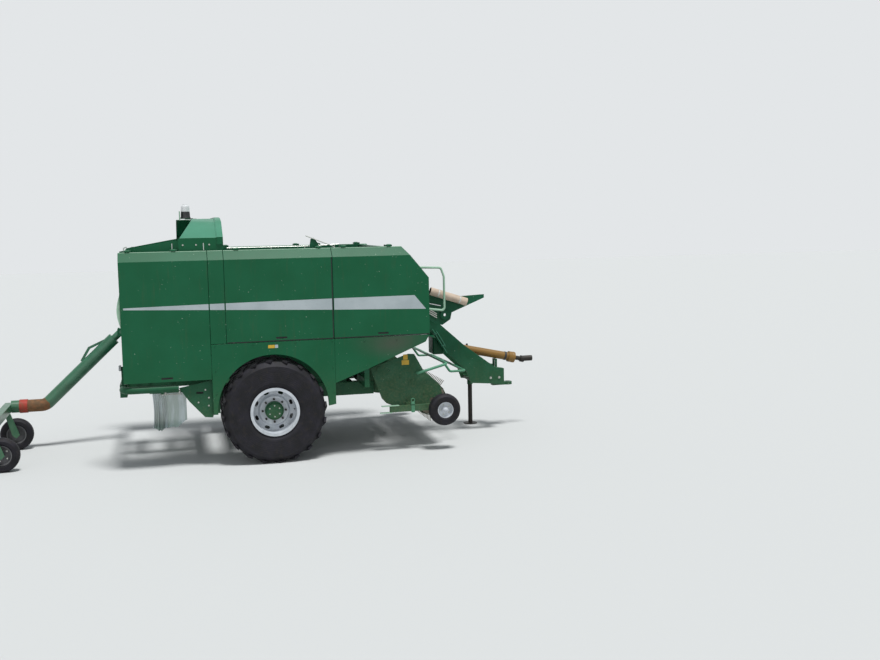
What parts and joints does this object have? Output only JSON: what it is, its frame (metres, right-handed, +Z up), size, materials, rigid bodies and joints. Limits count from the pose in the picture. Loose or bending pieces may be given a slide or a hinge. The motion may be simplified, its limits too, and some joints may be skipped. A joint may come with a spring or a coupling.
{
  "type": "towed hay baler",
  "caption": "Towed round baler with a wrapping ring, tip table, tined pick-up, hinged side doors, drawbar and rear bale-turning cradle.",
  "frame": {"origin": "on the floor under the middle of the whole machine's footprint, 20 mm ahead of the road axle", "axes": "+X forward to the hitch, +Y to the machine's left, +Z up"},
  "size_m": [7.34, 2.56, 3.1103],
  "materials": {
    "green_panel": "gloss",
    "green_frame": "satin",
    "tyre_rubber": "matte",
    "white_rim": "satin",
    "roller_steel": "worn",
    "tine_steel": "worn",
    "cream_tube": "satin",
    "ochre_guard": "satin",
    "yoke_steel": "rough",
    "wrap_film": "satin",
    "lamp_body": "gloss"
  },
  "bodies": {
    "chassis": {"axle_beam": "green_frame", "chassis_rails": "green_frame", "door_hinges": "green_frame", "drawbar": "green_frame", "feed_housing": "green_frame", "film_tail": "wrap_film", "fixed_side_panels": "green_panel", "front_fittings": "green_frame", "front_frame": "green_frame", "hitch_eye": "green_frame", "hose_tube": "cream_tube", "jack_sleeve": "green_frame", "lamps": "lamp_body", "lower_chamber_sides": "green_frame", "lower_rollers": "roller_steel", "main_gearbox": "green_frame", "net_box": "green_panel", "portal_frame": "green_frame", "pto_guard": "ochre_guard", "pto_yoke": "yoke_steel", "rear_frame": "green_frame", "rear_side_guards": "green_frame", "ring_guides": "roller_steel", "ring_hood": "green_panel", "side_frames": "green_frame"},
    "wheel_left": {"tyre_left": "tyre_rubber", "rim_left": "white_rim"},
    "wheel_right": {"tyre_right": "tyre_rubber", "rim_right": "white_rim"},
    "pickup": {"pickup_frame": "green_frame", "pickup_bands": "green_frame", "wind_guard": "green_frame", "gauge_arms": "green_frame"},
    "reel": {"pickup_reel": "tine_steel"},
    "gauge_wheel_left": {"gauge_wheel_left": "tyre_rubber"},
    "gauge_wheel_right": {"gauge_wheel_right": "tyre_rubber"},
    "rotor": {"feed_rotor": "tine_steel"},
    "chamber_gate": {"gate_sides": "green_frame", "gate_rollers": "roller_steel"},
    "ring": {"wrap_ring": "green_frame", "film_dispensers": "green_frame", "film_rolls": "wrap_film"},
    "table": {"table_frame": "green_frame", "table_rollers": "roller_steel"},
    "end_tip": {"tip_tube": "green_frame", "tip_cradle": "green_frame"},
    "tip_wheel_left": {"tip_wheel_left": "tyre_rubber"},
    "tip_wheel_right": {"tip_wheel_right": "tyre_rubber"},
    "jack": {"jack_leg": "green_frame"},
    "rear_door_left": {"rear_door_left": "green_panel"},
    "rear_door_right": {"rear_door_right": "green_panel"},
    "middle_door_left": {"middle_door_left": "green_panel"},
    "middle_door_right": {"middle_door_right": "green_panel"},
    "front_door_left": {"front_door_left": "green_panel"},
    "front_door_right": {"front_door_right": "green_panel"}
  },
  "joints": [
    {"name": "wheel_left_spin", "type": "hinge", "parent": "chassis", "child": "wheel_left", "pos_m": [-0.02, 1, 0.622], "axis": [0, 1, 0], "continuous": true},
    {"name": "wheel_right_spin", "type": "hinge", "parent": "chassis", "child": "wheel_right", "pos_m": [-0.02, -1, 0.622], "axis": [0, 1, 0], "continuous": true},
    {"name": "pickup_lift", "type": "hinge", "parent": "chassis", "child": "pickup", "pos_m": [1.3, 0, 1.03], "axis": [0, 1, 0], "range_deg": [0, 26]},
    {"name": "reel_spin", "type": "hinge", "parent": "pickup", "child": "reel", "pos_m": [1.965, 0, 0.61], "axis": [0, 1, 0], "continuous": true},
    {"name": "gauge_left_spin", "type": "hinge", "parent": "pickup", "child": "gauge_wheel_left", "pos_m": [2.076, 1.205, 0.511], "axis": [0, 1, 0], "continuous": true},
    {"name": "gauge_right_spin", "type": "hinge", "parent": "pickup", "child": "gauge_wheel_right", "pos_m": [2.076, -1.205, 0.511], "axis": [0, 1, 0], "continuous": true},
    {"name": "rotor_spin", "type": "hinge", "parent": "chassis", "child": "rotor", "pos_m": [1.37, 0, 0.905], "axis": [0, 1, 0], "continuous": true},
    {"name": "gate_lift", "type": "hinge", "parent": "chassis", "child": "chamber_gate", "pos_m": [1.365, 0, 1.69], "axis": [0, 1, 0], "range_deg": [0, 24]},
    {"name": "ring_turn", "type": "hinge", "parent": "chassis", "child": "ring", "pos_m": [-0.765, 0, 1.72], "axis": [1, 0, 0], "continuous": true},
    {"name": "table_tip", "type": "hinge", "parent": "chassis", "child": "table", "pos_m": [-1.5, 0, 1.07], "axis": [0, -1, 0], "range_deg": [0, 35]},
    {"name": "end_tip_lift", "type": "hinge", "parent": "chassis", "child": "end_tip", "pos_m": [-1.81, 0.69, 1.48], "axis": [0, 1, 0], "range_deg": [0, 50]},
    {"name": "tip_left_spin", "type": "hinge", "parent": "end_tip", "child": "tip_wheel_left", "pos_m": [-3.16, 0.66, 0.205], "axis": [0, 1, 0], "continuous": true},
    {"name": "tip_right_spin", "type": "hinge", "parent": "end_tip", "child": "tip_wheel_right", "pos_m": [-3.16, -0.62, 0.205], "axis": [0, 1, 0], "continuous": true},
    {"name": "rear_door_left_lift", "type": "hinge", "parent": "chassis", "child": "rear_door_left", "pos_m": [-1.365, 1.127, 2.562], "axis": [1, 0, 0], "range_deg": [0, 85]},
    {"name": "rear_door_right_lift", "type": "hinge", "parent": "chassis", "child": "rear_door_right", "pos_m": [-1.365, -1.127, 2.562], "axis": [-1, 0, 0], "range_deg": [0, 85]},
    {"name": "middle_door_left_lift", "type": "hinge", "parent": "chassis", "child": "middle_door_left", "pos_m": [0.085, 1.127, 2.562], "axis": [1, 0, 0], "range_deg": [0, 85]},
    {"name": "middle_door_right_lift", "type": "hinge", "parent": "chassis", "child": "middle_door_right", "pos_m": [0.085, -1.127, 2.562], "axis": [-1, 0, 0], "range_deg": [0, 85]},
    {"name": "front_door_left_lift", "type": "hinge", "parent": "chassis", "child": "front_door_left", "pos_m": [1.15, 1.127, 2.562], "axis": [1, 0, 0], "range_deg": [0, 85]},
    {"name": "front_door_right_lift", "type": "hinge", "parent": "chassis", "child": "front_door_right", "pos_m": [1.15, -1.127, 2.562], "axis": [-1, 0, 0], "range_deg": [0, 85]},
    {"name": "jack_slide", "type": "slide", "parent": "chassis", "child": "jack", "axis": [0, 0, 1], "range_m": [0, 0.35]}
  ]
}
